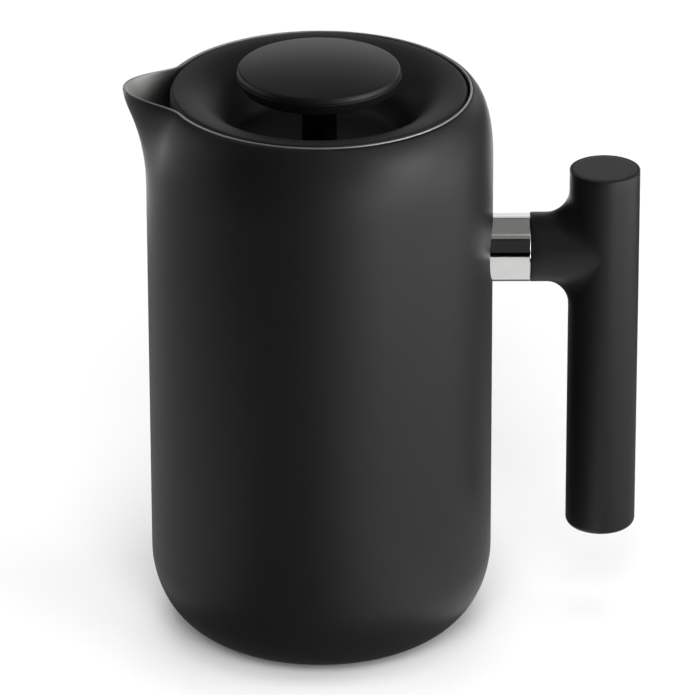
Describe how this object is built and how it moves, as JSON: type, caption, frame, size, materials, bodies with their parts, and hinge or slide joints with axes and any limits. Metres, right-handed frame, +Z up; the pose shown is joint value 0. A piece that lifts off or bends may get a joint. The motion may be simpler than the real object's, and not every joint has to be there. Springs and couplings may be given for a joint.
{
  "type": "french press",
  "caption": "Double-walled insulated french press with a pouring spout, T-shaped side handle, lift-off dished lid and round-knobbed plunger filter.",
  "frame": {"origin": "on the body's axis, at the underside of the base pad, on the surface that the press stands on", "axes": "+Z up along the body's axis, +X towards the handle, -X towards the spout"},
  "size_m": [0.1516, 0.102, 0.1804],
  "materials": {
    "black_coated_steel": "fine matte powder coat",
    "brushed_steel": "brushed",
    "polished_steel": "polished",
    "fastener_steel": "plain zinc-plated",
    "black_grip_plastic": "soft matte",
    "black_lid_plastic": "satin",
    "black_knob_plastic": "fine matte",
    "gloss_black_plastic": "gloss",
    "black_rubber": "matte silicone",
    "brass": "turned"
  },
  "bodies": {
    "carafe": {"outer_shell": "black_coated_steel", "inner_liner": "brushed_steel", "liner_base": "brushed_steel", "base_plate": "brushed_steel", "vacuum_plug": "brushed_steel", "base_pad": "black_rubber", "handle_boss": "brushed_steel", "handle_ferrule": "polished_steel", "handle_grip": "black_grip_plastic", "grip_cap": "black_grip_plastic", "handle_screw": "fastener_steel", "handle_washer": "fastener_steel", "access_plug": "black_grip_plastic"},
    "seal": {"lid_seal": "black_rubber"},
    "lid": {"lid_cover": "black_lid_plastic", "strainer_skirt": "black_lid_plastic", "rod_bush": "brushed_steel", "rod_wiper": "black_rubber", "bush_retainer": "black_lid_plastic", "retainer_screws": "fastener_steel"},
    "plunger": {"knob_cap": "black_knob_plastic", "knob_base": "black_knob_plastic", "knob_neck": "gloss_black_plastic", "knob_insert": "brass", "plunger_rod": "polished_steel", "rod_collar": "polished_steel", "filter_top_plate": "brushed_steel", "filter_spring": "polished_steel", "filter_mesh": "brushed_steel", "cross_plate": "brushed_steel", "filter_nut": "polished_steel"}
  },
  "joints": [
    {"name": "lid_lift", "type": "slide", "parent": "carafe", "child": "seal", "axis": [0, 0, 1], "range_m": [0, 0.16]},
    {"name": "lid_turn", "type": "hinge", "parent": "seal", "child": "lid", "pos_m": [0, 0, 0.15], "axis": [0, 0, 1], "continuous": true},
    {"name": "plunger_slide", "type": "slide", "parent": "lid", "child": "plunger", "axis": [0, 0, 1], "range_m": [0, 0.102]}
  ]
}
